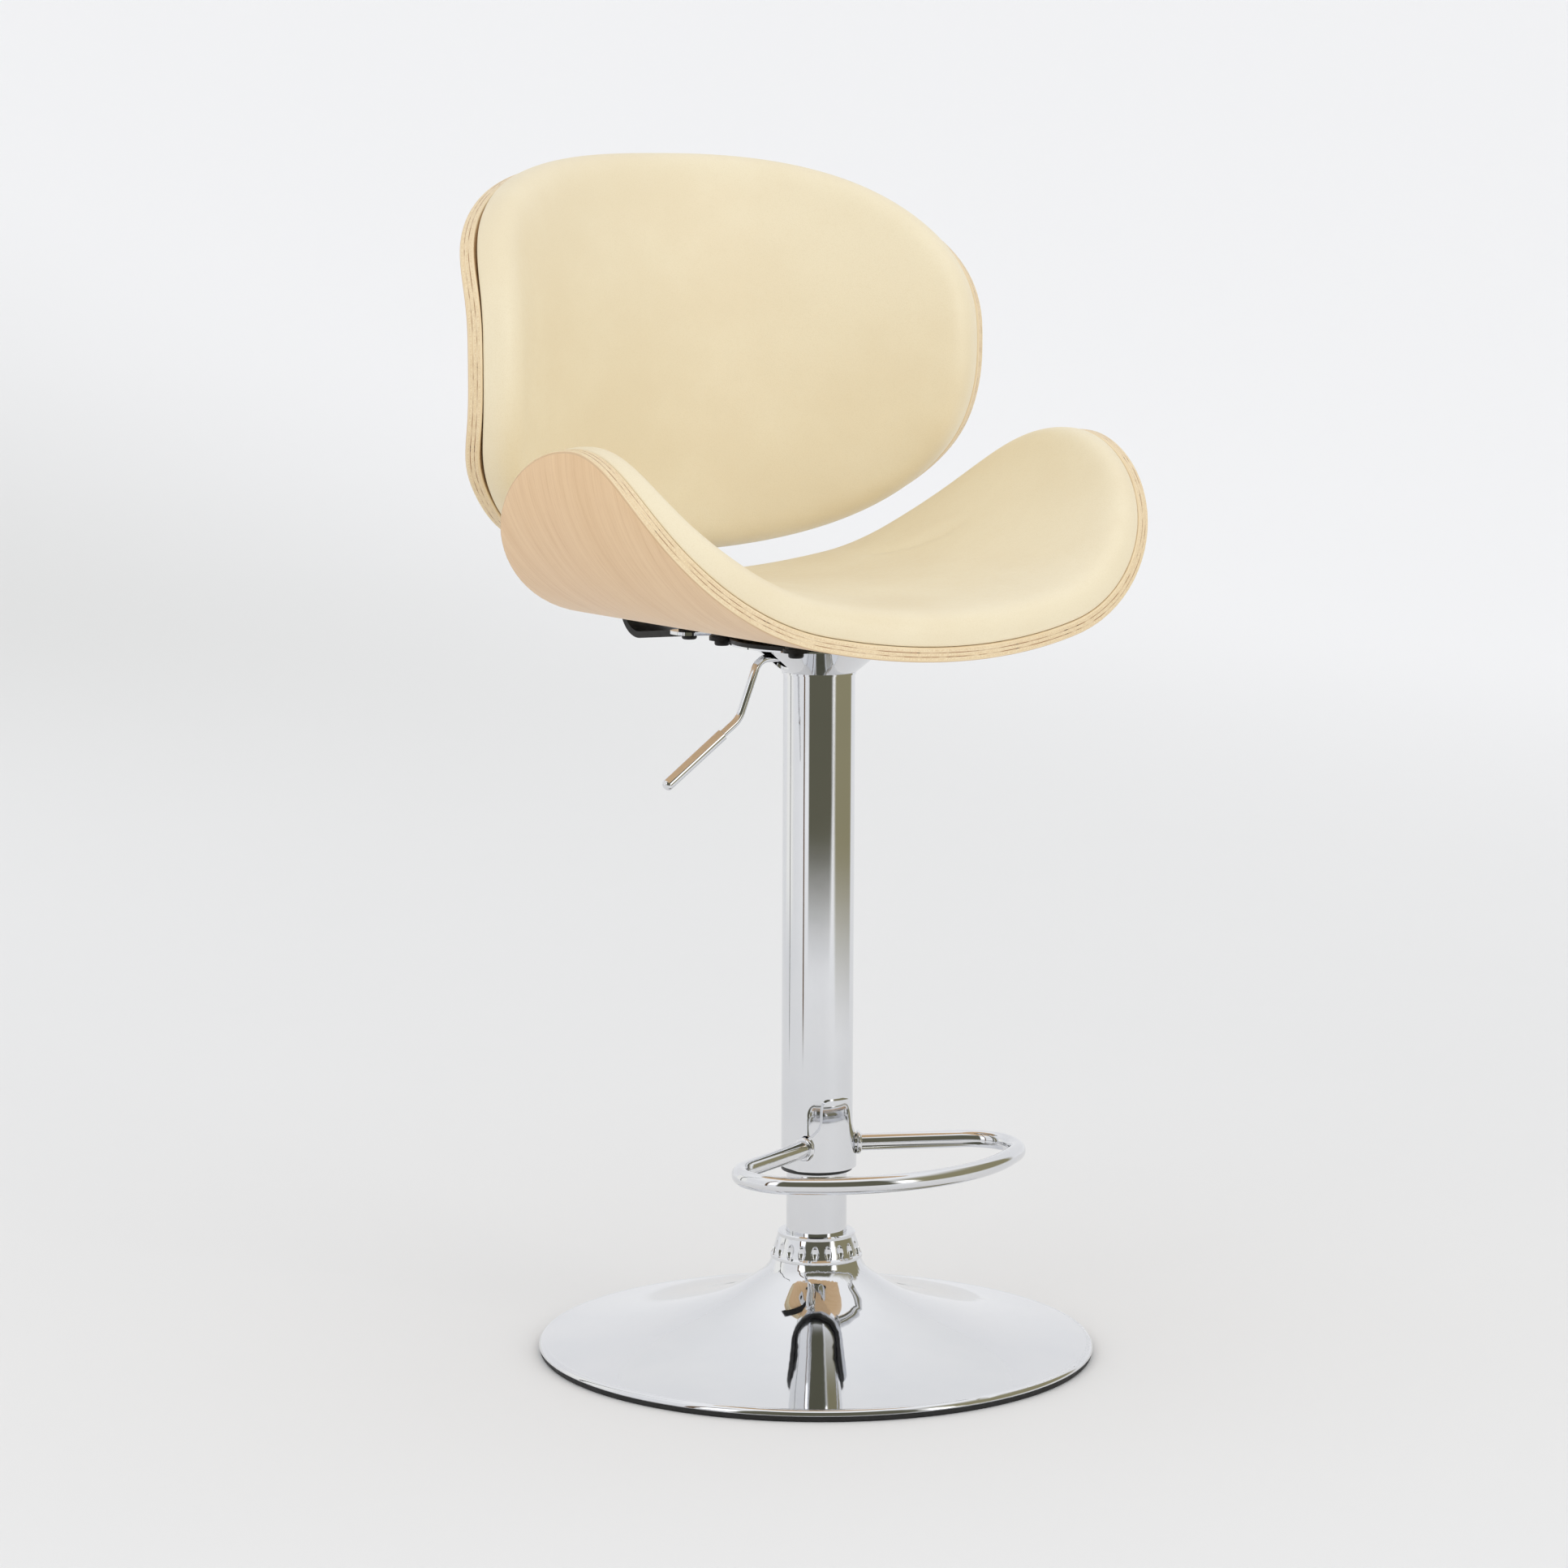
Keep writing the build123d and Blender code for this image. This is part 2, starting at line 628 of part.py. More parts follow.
nut_low_z = seat_section(bolt_x, 0)[1] + 1
with BuildPart() as seat_nuts:
    with BuildSketch(Plane.XY.offset(nut_low_z)):
        with Locations(seat_bolt_spots):
            Circle(nut_barrel_radius)
            Circle(bolt_shank_radius, mode=Mode.SUBTRACT)
    extrude(amount=nut_z - nut_low_z)
    with BuildSketch(Plane.XY.offset(nut_z)):
        with Locations(seat_bolt_spots):
            Circle(nut_flange_radius)
            Circle(bolt_shank_radius, mode=Mode.SUBTRACT)
    extrude(amount=nut_flange_thick)
finish(seat_nuts, "seat_nuts")

spacer_radius = 8.0
spacer_thick = seat_section(bolt_x - spacer_radius, 0)[1] - seat_z - 0.05
with BuildPart() as seat_spacers:
    with BuildSketch(Plane.XY.offset(seat_z)):
        with Locations(seat_bolt_spots):
            Circle(spacer_radius)
            Circle(bolt_shank_radius, mode=Mode.SUBTRACT)
    extrude(amount=spacer_thick)
finish(seat_spacers, "seat_spacers")

head_radius, head_high = 5.6, 3.9


def seat_bolts(spots, under_z):
    """Domed bolts, up through the plate, the spacer and the nut."""
    with BuildPart() as bolts:
        with BuildSketch(Plane.XY.offset(under_z - head_high)):
            with Locations(spots):
                Circle(head_radius)
        extrude(amount=head_high)
        fillet(bolts.edges().group_by(Axis.Z)[0], 1.6)
        with BuildSketch(Plane.XY.offset(under_z - head_high)):
            with Locations(spots):
                RegularPolygon(2.3, 6)
        extrude(amount=2.2, mode=Mode.SUBTRACT)
        with BuildSketch(Plane.XY.offset(under_z)):
            with Locations(spots):
                Circle(bolt_shank_radius)
        extrude(amount=nut_z + nut_flange_thick - under_z)
    return bolts


finish(seat_bolts(bolt_spots, plate_low_z), "plate_bolts")
finish(seat_bolts(foot_spots, seat_z - foot_thick), "foot_bolts")

# ---------------------------------------------------------------- back
sweep_half = 70.0              # the untrimmed surface reaches further than the sheet


def back_bend(forward):
    """The bent surface, untrimmed: upright below, leaning back above, turned round an upright axis."""
    axis_line = Axis((0, back_axis_y, 0), (0, 0, 1))
    front_y = back_axis_y + back_radius - forward
    with BuildLine(Plane.YZ) as upright:
        low = Line((front_y, back_centre_z - back_drop - 20), (front_y, lean_start_z))
        lean = CenterArc((front_y + lean_radius + forward, lean_start_z), lean_radius + forward, 180, -lean_angle)
        Line(lean @ 1, (lean @ 1) + (lean % 1) * 120)
    wire_at_side = upright.wires()[0].rotate(axis_line, -sweep_half)
    return Shell.revolve(wire_at_side, 2 * sweep_half, axis_line)


def back_front_view(forward, inset):
    """Front view of a layer, an oval with full corners, pushed out along Y."""
    steps = 6
    points = []
    for rise, fullness, first, last in ((back_rise, 2.52, steps, 0), (-back_drop, 2.31, 1, steps)):
        height = rise - inset if rise > 0 else rise + inset
        direction = -1 if last < first else 1
        for step in range(first, last + direction, direction):
            turn = pi / 2 * step / steps
            angle = (radians(back_half_angle) - inset / back_radius) * max(cos(turn), 0) ** (2 / fullness)
            points.append(((back_radius - forward) * sin(angle), back_centre_z + height * sin(turn) ** (2 / fullness)))
    with BuildPart() as front_view:
        with BuildSketch(Plane.XZ):
            with BuildLine():
                right = Spline(*points, tangents=[(1, 0), (-1, 0)])
                mirror(about=Plane.YZ)
            make_face()
        extrude(amount=350, both=True)
    return front_view.part


def back_layer(forward, thick, inset):
    """A layer of the back whose rear face is forward of the sheet's front face."""
    faces = back_bend(forward).intersect(back_front_view(forward, inset)).faces()
    faces = ShapeList(face for face in faces if face.center().Y > back_axis_y)
    return Solid.thicken(Shell(faces), thick)


back_bolt_spots = [(0, z) for z in back_bolt_z]
back_front_y = back_axis_y + back_radius              # front face of the back sheet, on the centre line
board_front_y = back_front_y - pad_gap - board_thick
back_nut_y = board_front_y - 0.25                     # rear of the nuts' flanges, clear of the board's curve


def back_holes(radius, near_y, far_y):
    """Upright row of round bars along Y, for the back bolts' holes."""
    with BuildPart() as bars:
        with BuildSketch(Plane.XZ.offset(-near_y)):
            with Locations(back_bolt_spots):
                Circle(radius)
        extrude(amount=near_y - far_y)
    return bars.part


with BuildPart() as back_shell:
    add(back_layer(0, ply, 0))
    add(back_holes(nut_barrel_radius, back_rear_y + 5, back_front_y - 5), mode=Mode.SUBTRACT)
finish(back_shell, "back_shell")

with BuildPart() as back_pad_board:
    add(back_layer(pad_gap + board_thick, board_thick, pad_inset + 3))
    add(back_holes(nut_barrel_radius, back_front_y, board_front_y - 5), mode=Mode.SUBTRACT)
finish(back_pad_board, "back_pad_board")

with BuildPart() as back_pad:
    add(back_layer(pad_gap + board_thick + pad_thick, pad_thick, pad_inset))
    hollow_y = back_nut_y - nut_flange_thick - 0.5
    add(back_holes(nut_flange_radius + 1, back_front_y, hollow_y), mode=Mode.SUBTRACT)
finish(back_pad, "back_pad")

with BuildPart() as back_nuts:
    add(back_holes(nut_barrel_radius, back_rear_y - 1, back_nut_y))
    add(back_holes(nut_flange_radius, back_nut_y, back_nut_y - nut_flange_thick))
    add(back_holes(bolt_shank_radius, back_rear_y, board_front_y - 5), mode=Mode.SUBTRACT)
finish(back_nuts, "back_nuts")

back_head_y = back_rear_y + bracket_thick
with BuildPart() as back_bolts:
    add(back_holes(head_radius, back_head_y + head_high, back_head_y))
    fillet(back_bolts.edges().group_by(Axis.Y)[-1], 1.6)
    with BuildSketch(Plane.XZ.offset(-back_head_y - head_high)):
        with Locations(back_bolt_spots):
            RegularPolygon(2.3, 6)
    extrude(amount=2.2, mode=Mode.SUBTRACT)
    add(back_holes(bolt_shank_radius, back_head_y, back_nut_y - nut_flange_thick))
finish(back_bolts, "back_bolts")
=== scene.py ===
"""Adjustable swivel bar stool: the looks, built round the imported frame.

Metres, +Z up, the sitter faces -Y. The two bent-ply sheets and the two pads are built here from the
same curves as their solids. Everything else keeps its own mesh and gets a material.
"""
import json
import math

import bpy
import numpy as np
from mathutils import Matrix, Vector


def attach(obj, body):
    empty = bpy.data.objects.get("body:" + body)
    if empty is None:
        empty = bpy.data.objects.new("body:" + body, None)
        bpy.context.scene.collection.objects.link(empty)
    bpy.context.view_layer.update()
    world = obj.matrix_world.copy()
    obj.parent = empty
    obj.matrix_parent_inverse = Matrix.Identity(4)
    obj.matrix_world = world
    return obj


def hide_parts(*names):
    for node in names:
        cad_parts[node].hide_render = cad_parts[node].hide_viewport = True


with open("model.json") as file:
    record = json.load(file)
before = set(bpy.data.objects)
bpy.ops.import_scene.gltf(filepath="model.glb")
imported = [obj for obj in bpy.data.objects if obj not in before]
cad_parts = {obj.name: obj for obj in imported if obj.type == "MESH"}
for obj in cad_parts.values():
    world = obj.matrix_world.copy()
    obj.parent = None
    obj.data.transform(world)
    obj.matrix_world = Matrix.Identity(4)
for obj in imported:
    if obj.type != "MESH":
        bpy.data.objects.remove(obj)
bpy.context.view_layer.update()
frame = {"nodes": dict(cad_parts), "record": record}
nodes = frame["nodes"]
scene = bpy.context.scene
MM = 0.001


# ---------------------------------------------------------------- materials
class Mat:
    """A node material with short calls for the nodes it is made of."""

    def __init__(self, name, **inputs):
        self.mat = bpy.data.materials.new(name)
        self.mat.use_nodes = True
        self.tree = self.mat.node_tree
        self.bsdf = self.tree.nodes["Principled BSDF"]
        for key, value in inputs.items():
            self.bsdf.inputs[key.replace("_", " ").title().replace("Ior", "IOR")].default_value = value

    def link(self, source, target):
        self.tree.links.new(source, target)
        return source

    def plug(self, socket, value):
        if isinstance(value, bpy.types.NodeSocket):
            self.link(value, socket)
        elif value is not None:
            socket.default_value = value

    def coords(self, attribute=None, scale=(1, 1, 1), offset=(0, 0, 0)):
        """Position in metres: the object's own, or a vector attribute of the mesh."""
        if attribute:
            source = self.tree.nodes.new("ShaderNodeAttribute")
            source.attribute_name = attribute
            out = source.outputs["Vector"]
        else:
            out = self.tree.nodes.new("ShaderNodeTexCoord").outputs["Object"]
        mapping = self.tree.nodes.new("ShaderNodeMapping")
        mapping.inputs["Scale"].default_value = scale
        mapping.inputs["Location"].default_value = offset
        self.link(out, mapping.inputs["Vector"])
        return mapping.outputs["Vector"]

    def noise(self, vector, scale=1.0, detail=3.0, roughness=0.5, distortion=0.0):
        node = self.tree.nodes.new("ShaderNodeTexNoise")
        self.link(vector, node.inputs["Vector"])
        settings = {"Scale": scale, "Detail": detail, "Roughness": roughness, "Distortion": distortion}
        for key, value in settings.items():
            node.inputs[key].default_value = value
        return node.outputs["Fac"]

    def voronoi(self, vector, scale):
        node = self.tree.nodes.new("ShaderNodeTexVoronoi")
        self.link(vector, node.inputs["Vector"])
        node.inputs["Scale"].default_value = scale
        return node.outputs["Distance"]

    def math(self, kind, a, b=None, clamp=False):
        node = self.tree.nodes.new("ShaderNodeMath")
        node.operation, node.use_clamp = kind, clamp
        self.plug(node.inputs[0], a)
        self.plug(node.inputs[1], b)
        return node.outputs[0]

    def axis(self, vector, name):
        node = self.tree.nodes.new("ShaderNodeSeparateXYZ")
        self.link(vector, node.inputs[0])
        return node.outputs[name]

    def length(self, vector):
        node = self.tree.nodes.new("ShaderNodeVectorMath")
        node.operation = "LENGTH"
        self.link(vector, node.inputs[0])
        return node.outputs["Value"]

    def ramp(self, value, low, high, out_low=0.0, out_high=1.0):
        """Smooth step of a value from low to high."""
        node = self.tree.nodes.new("ShaderNodeMapRange")
        node.interpolation_type = "SMOOTHSTEP"
        self.link(value, node.inputs["Value"])
        for key, number in (("From Min", low), ("From Max", high), ("To Min", out_low), ("To Max", out_high)):
            node.inputs[key].default_value = number
        return node.outputs[0]

    def mix(self, factor, a, b):
        node = self.tree.nodes.new("ShaderNodeMix")
        node.data_type = "RGBA"
        self.plug(node.inputs["Factor"], factor)
        for socket, value in ((node.inputs[6], a), (node.inputs[7], b)):
            self.plug(socket, (*value, 1) if isinstance(value, tuple) else value)
        return node.outputs[2]

    def colour(self, source):
        self.link(source, self.bsdf.inputs["Base Color"])

    def rough(self, source):
        self.link(source, self.bsdf.inputs["Roughness"])

    def bump(self, height, distance, strength=1.0):
        node = self.tree.nodes.new("ShaderNodeBump")
        node.inputs["Distance"].default_value = distance
        node.inputs["Strength"].default_value = strength
        self.link(height, node.inputs["Height"])
        self.link(node.outputs[0], self.bsdf.inputs["Normal"])


def srgb(red, green, blue):
    """A colour given in 0-255 display values, as linear light."""
    return tuple((c / 255 / 12.92) if c < 10 else ((c / 255 + 0.055) / 1.055) ** 2.4 for c in (red, green, blue))


def chrome_material():
    m = Mat("chrome", metallic=1.0)
    haze = m.noise(m.coords(), 14, 3, 0.6)
    fine = m.noise(m.coords(), 900, 2, 0.5)
    m.colour(m.mix(haze, srgb(220, 222, 226), srgb(232, 232, 233)))
    m.rough(m.math("ADD", m.ramp(haze, 0.35, 0.7, 0.025, 0.05), m.math("MULTIPLY", fine, 0.012)))
    m.bump(m.noise(m.coords(), 60, 1, 0.4), 0.02 * MM, 0.5)
    return m.mat


def plated_steel_material():
    m = Mat("plated_steel", metallic=1.0)
    cloud = m.noise(m.coords(), 60, 4, 0.6)
    brushed = m.noise(m.coords(scale=(1, 1, 12)), 400, 2, 0.6)
    m.colour(m.mix(cloud, srgb(176, 178, 180), srgb(202, 202, 198)))
    m.rough(m.ramp(brushed, 0.3, 0.7, 0.24, 0.38))
    m.bump(brushed, 0.03 * MM, 0.6)
    return m.mat


def black_steel_material():
    m = Mat("black_steel", metallic=0.6)
    cloud = m.noise(m.coords(), 180, 4, 0.6)
    m.colour(m.mix(cloud, srgb(22, 22, 23), srgb(40, 39, 38)))
    m.rough(m.ramp(cloud, 0.3, 0.7, 0.32, 0.5))
    m.bump(m.noise(m.coords(), 1500, 2), 0.03 * MM, 0.5)
    return m.mat


def rubber_material(name, rough_low, rough_high, tint):
    m = Mat(name)
    cloud = m.noise(m.coords(), 90, 4, 0.6)
    m.colour(m.mix(cloud, srgb(tint, tint, tint + 1), srgb(tint + 16, tint + 16, tint + 15)))
    m.rough(m.ramp(cloud, 0.3, 0.7, rough_low, rough_high))
    m.bump(m.noise(m.coords(), 1800, 3, 0.6), 0.05 * MM, 0.6)
    return m.mat


def cast_iron_material():
    m = Mat("cast_iron")
    pits = m.voronoi(m.coords(), 500)
    cloud = m.noise(m.coords(), 40, 5, 0.6)
    m.colour(m.mix(cloud, srgb(52, 51, 50), srgb(74, 72, 70)))
    m.rough(m.ramp(cloud, 0.3, 0.7, 0.55, 0.75))
    m.bump(pits, 0.4 * MM, 0.7)
    return m.mat


def board_material():
    m = Mat("board", roughness=0.7)
    grain = m.noise(m.coords(scale=(4, 160, 160)), 1, 4, 0.6, 0.3)
    m.colour(m.mix(grain, srgb(150, 120, 84), srgb(188, 158, 118)))
    m.bump(grain, 0.1 * MM, 0.5)
    return m.mat


def veneer_material():
    """Pale pinkish veneer, its grain along the bend, under a satin lacquer."""
    m = Mat("veneer", coat_weight=0.18, coat_roughness=0.28)
    wander = m.noise(m.coords("flat", (1.6, 4.0, 0)), 1, 2, 0.5)
    flat = m.coords("flat", (1, 1, 1))
    across = m.math("ADD", m.axis(flat, "Y"), m.math("MULTIPLY", wander, 0.008))
    lines = m.tree.nodes.new("ShaderNodeCombineXYZ")
    m.link(m.math("MULTIPLY", m.axis(flat, "X"), 0.03), lines.inputs["X"])
    m.link(across, lines.inputs["Y"])
    broad = m.noise(lines.outputs[0], 85, 3, 0.6)
    streak = m.noise(lines.outputs[0], 520, 4, 0.7)
    pores = m.noise(m.coords("flat", (70, 1500, 0)), 1, 2, 0.6)
    cloud = m.noise(m.coords("flat", (5, 7, 0)), 1, 2, 0.5)
    tone = m.mix(m.ramp(broad, 0.25, 0.75), srgb(*veneer_dark), srgb(*veneer_light))
    tone = m.mix(m.math("MULTIPLY", m.ramp(cloud, 0.35, 0.7), 0.35), tone, srgb(*veneer_pink))
    tone = m.mix(m.math("MULTIPLY", m.ramp(streak, 0.46, 0.72), 0.28), tone, srgb(*veneer_streak))
    tone = m.mix(m.math("MULTIPLY", m.ramp(pores, 0.62, 0.74), 0.30), tone, srgb(*veneer_pore))
    m.colour(tone)
    m.rough(m.ramp(streak, 0.3, 0.7, 0.38, 0.5))
    m.bump(m.math("SUBTRACT", m.math("MULTIPLY", streak, 0.5), m.ramp(pores, 0.6, 0.75)), 0.05 * MM, 0.5)
    return m.mat


def ply_edge_material():
    """The sheet's sanded edge: seven plies, faint glue lines, two strong broken ones and a few short voids painted
    dark with shade.
    """
    m = Mat("ply_edge", coat_weight=0.15, coat_roughness=0.3)
    flat = m.coords("flat")
    depth = m.math("DIVIDE", m.axis(flat, "Z"), ply_thick)                 # 0 at the veneer face, 1 at the pad
    run = m.noise(m.coords("flat", (1, 1, 0)), 95, 3, 0.6)
    fibre = m.noise(m.coords("flat", (25, 25, 2600)), 1, 3, 0.6)
    stipple = m.noise(m.coords("flat", (900, 900, 900)), 1, 2, 0.6)
    wobble = m.math("MULTIPLY", m.math("SUBTRACT", m.noise(m.coords("flat", (1, 1, 0)), 22, 2), 0.5), 0.06)
    bent = m.math("ADD", depth, wobble)
    across_ply = m.math("FRACT", m.math("MULTIPLY", bent, 7.0))
    odd = m.math("FLOORED_MODULO", m.math("FLOOR", m.math("MULTIPLY", bent, 7.0)), 2.0)
    tone = m.mix(m.ramp(fibre, 0.3, 0.7), srgb(*edge_light), srgb(*edge_mid))
    end_grain = m.mix(m.ramp(stipple, 0.35, 0.65), srgb(*edge_light), srgb(*edge_dark))
    tone = m.mix(m.math("MULTIPLY", odd, 0.5), tone, end_grain)
    near_line = m.math("ABSOLUTE", m.math("SUBTRACT", across_ply, 0.5))
    line = m.ramp(near_line, 0.42, 0.5)
    tone = m.mix(m.math("MULTIPLY", line, m.ramp(run, 0.35, 0.75, 0.06, 0.34)), tone, srgb(*edge_glue))
    strong = None
    for place, seed in ((0.36, 0.0), (0.64, 3.7)):
        off = m.math("ABSOLUTE", m.math("SUBTRACT", bent, place))
        dashes = m.noise(m.coords("flat", (1, 1, 0), (seed, seed, 0)), 60, 3, 0.6)
        here = m.math("MULTIPLY", m.ramp(off, 0.045, 0.012), m.ramp(dashes, 0.38, 0.62, 0.15, 1.0))
        strong = here if strong is None else m.math("MAXIMUM", strong, here)
    tone = m.mix(m.math("MULTIPLY", strong, 0.9), tone, srgb(*edge_glue))
    # painted shade: short voids along the strong glue lines are painted dark brown for the shade inside them; they
    # are also sunk in the bump
    chips = m.ramp(m.noise(m.coords("flat", (1, 1, 0)), 140, 2, 0.5), 0.63, 0.68)
    voids_with_painted_shade = m.math("MULTIPLY", m.ramp(strong, 0.55, 0.8), chips)
    tone = m.mix(m.math("MULTIPLY", voids_with_painted_shade, 0.9), tone, srgb(74, 48, 30))
    arris = m.ramp(depth, 0.075, 0.03)
    tone = m.mix(m.math("MULTIPLY", arris, 0.6), tone, srgb(*veneer_streak))
    m.colour(tone)
    m.rough(m.ramp(fibre, 0.3, 0.7, 0.40, 0.52))
    sunk = m.math("ADD", voids_with_painted_shade, m.math("MULTIPLY", line, 0.3))
    m.bump(m.math("SUBTRACT", m.math("MULTIPLY", fibre, 0.4), sunk),
           0.15 * MM, 0.6)
    return m.mat


def upholstery_material():
    """Cream coated fabric: a very fine pebbled grain, softly mottled."""
    m = Mat("upholstery", sheen_weight=0.08, sheen_roughness=0.5)
    cloud = m.noise(m.coords(), 9, 3, 0.55)
    mottle = m.noise(m.coords(), 240, 3, 0.6)
    pebbles = m.voronoi(m.coords(), 1150)
    creases = m.noise(m.coords(), 620, 4, 0.65, 0.6)
    tone = m.mix(m.ramp(cloud, 0.3, 0.7), srgb(*cream_low), srgb(*cream_high))
    tone = m.mix(m.math("MULTIPLY", m.ramp(mottle, 0.5, 0.75), 0.25), tone, srgb(*cream_low))
    # painted shade: the hollows between the pebbles are painted a darker cream
    tone = m.mix(m.math("MULTIPLY", m.ramp(pebbles, 0.45, 0.75), 0.14), tone, srgb(*cream_valley_shade))
    m.colour(tone)
    m.rough(m.ramp(mottle, 0.3, 0.7, 0.40, 0.50))
    domes = m.math("MULTIPLY", m.math("SUBTRACT", 1.0, pebbles), 0.6)
    height = m.math("ADD", domes, m.math("MULTIPLY", creases, 0.5))
    m.bump(height, 0.09 * MM, 0.5)
    return m.mat


def floor_material():
    m = Mat("floor_paper", roughness=0.85)
    cloud = m.noise(m.coords(), 1.3, 3, 0.5)
    away = m.length(m.coords(scale=(1, 1, 0)))
    near = m.mix(cloud, (0.805, 0.805, 0.803), (0.825, 0.825, 0.823))
    # painted light: the paper is painted brighter away from the stool, standing in for a backdrop more brightly lit
    # than the floor near it
    tone = m.mix(m.ramp(away, 0.6, 5.0), near, (0.93, 0.93, 0.935))
    # painted shade: a darker patch far off to one side, where the backdrop lies in shade
    backdrop_shade_patch = m.length(m.coords(scale=(0.62, 0.25, 0), offset=(-0.90, -1.39, 0)))
    m.colour(m.mix(m.ramp(backdrop_shade_patch, 1.5, 0.0, 0.0, 0.75), tone, (0.72, 0.72, 0.705)))
    m.bump(m.noise(m.coords(), 160, 3, 0.5), 0.05 * MM, 0.4)
    return m.mat


# sizes that the solids have too, in millimetres
ply = 10.5
seat_z, seat_half_length, seat_centre_y, seat_front, seat_rear = 529.0, 301.5, -22.5, 154.0, 200.0
seat_mid_half, seat_mid_radius, seat_wing_radius = 110.0, 523.0, 153.0
back_axis_y, back_radius, back_half_angle = -35.0, 261.0, 57.0
back_centre_z, back_rise, back_drop = 731.0, 140.0, 156.0
lean_start_z, lean_radius, lean_angle = 748.0, 400.0, 10.0

# sizes that only this model has
wing_pad_start, wing_pad_end, wing_pad_loss = 180.0, 300.0, 0.22     # the pad thins towards the seat's tips
tip_curl_start, tip_curl_reach, tip_curl = 225.0, 75.0, 3.5
back_pad_taller = 2.4
upper_flare, lower_flare, pad_follows = 5.5, 4.5, 0.6                # the back's corners spring back

ply_thick = ply * MM
veneer_light, veneer_dark, veneer_pink = (235, 201, 157), (226, 189, 143), (230, 194, 154)
veneer_streak, veneer_pore = (200, 156, 110), (182, 138, 98)
edge_light, edge_mid, edge_dark, edge_glue = (240, 222, 186), (230, 206, 165), (214, 183, 138), (146, 94, 48)
cream_high, cream_low, cream_valley_shade = (238, 226, 196), (233, 219, 187), (221, 204, 163)

chrome = chrome_material()
plated_steel = plated_steel_material()
black_steel = black_steel_material()
rubber = rubber_material("rubber", 0.55, 0.75, 18)
black_plastic = rubber_material("black_plastic", 0.35, 0.5, 22)
cast_iron = cast_iron_material()
board = board_material()
veneer = veneer_material()
ply_edge = ply_edge_material()
upholstery = upholstery_material()

slot_materials = {
    "chrome": chrome, "plated_steel": plated_steel, "black_steel": black_steel, "cast_iron": cast_iron,
    "rubber": rubber, "black_plastic": black_plastic, "bent_ply": veneer, "board": board, "upholstery": upholstery,
}
for part in frame["record"]["subparts"]:
    obj = nodes[part["node"]]
    obj.data.materials.clear()
    obj.data.materials.append(slot_materials[part["material_slot"]])


# ---------------------------------------------------------------- the two bent sheets
def smoothstep(share):
    """Smooth step from 0 to 1."""
    share = np.clip(share, 0, 1)
    return share * share * (3 - 2 * share)


def seat_point(a, b, inset, rise):
    """A point of the seat from a place (a, b) in a unit disc: position, and place in the sheet laid flat.

    The sheet curls in a little more at its two tips, and the pad is thinner up there."""
    along = (seat_half_length - inset) * a
    across = seat_centre_y + b * (np.where(b < 0, seat_front, seat_rear) - inset)
    reach = np.abs(along)
    bend = np.minimum(reach, seat_mid_half) / seat_mid_radius
    curl = np.maximum(reach - seat_mid_half, 0) / seat_wing_radius
    thinning = wing_pad_loss * smoothstep((reach - wing_pad_start) / (wing_pad_end - wing_pad_start))
    pad = np.maximum(rise - ply, 0) * (1 - thinning)
    past = np.maximum((reach - tip_curl_start) / tip_curl_reach, 0)
    lift = np.minimum(rise, ply) + pad + tip_curl * past**2
    mid, wing = seat_mid_radius - lift, seat_wing_radius - lift
    x = np.sign(along) * (mid * np.sin(bend) + wing * (np.sin(bend + curl) - np.sin(bend)))
    z = seat_z + seat_mid_radius - mid * np.cos(bend) - wing * (np.cos(bend + curl) - np.cos(bend))
    return np.stack([x, across, z], -1), np.stack([along, across, rise], -1)


def back_point(a, b, inset, rise):
    """The same for the back. Rise is measured from the sheet's rear face, towards the sitter.

    The sheet springs back a little at its four full corners, and the pad follows it only part of the way."""
    radius = np.hypot(a, b)
    safe = np.maximum(radius, 1e-9)
    cosine, sine = np.abs(a) / safe, np.abs(b) / safe
    up = b >= 0
    power = np.where(up, 2 / 2.52, 2 / 2.31)
    edge_x = back_radius * np.sin((math.radians(back_half_angle) - inset / back_radius) * cosine**power)
    taller = np.where(rise > ply, back_pad_taller, 0.0)
    edge_z = (np.where(up, back_rise + taller, back_drop) - inset) * sine**power
    x, z = radius * edge_x, radius * edge_z * np.where(up, 1, -1)
    height = back_centre_z + z - lean_start_z
    full_lean = math.radians(lean_angle)
    lean = np.clip(np.arcsin(np.clip(height / lean_radius, -1, 1)), 0, full_lean)
    beyond = np.maximum(height - lean_radius * math.sin(full_lean), 0) / math.cos(full_lean)
    depth = back_radius + lean_radius * (1 - np.cos(lean)) + beyond * np.sin(lean)
    turn = np.arcsin(np.clip(x / depth, -1, 1))
    upper, lower = np.exp(-(((height - 72.0) / 44.0) ** 2)), np.exp(-(((height + 96.0) / 30.0) ** 2))
    flare = (upper_flare * upper + lower_flare * lower) * smoothstep((np.degrees(turn) - 20.0) / 34.0)
    forward = rise - ply - flare * np.where(rise > ply, pad_follows, 1.0)
    out = depth - forward * np.cos(lean)
    place_z = back_centre_z + z + forward * np.sin(lean)
    turn = turn * np.where(a < 0, -1, 1)
    flat = np.stack([turn * back_radius, height, rise], -1)
    return np.stack([out * np.sin(turn), back_axis_y + out * np.cos(turn), place_z], -1), flat


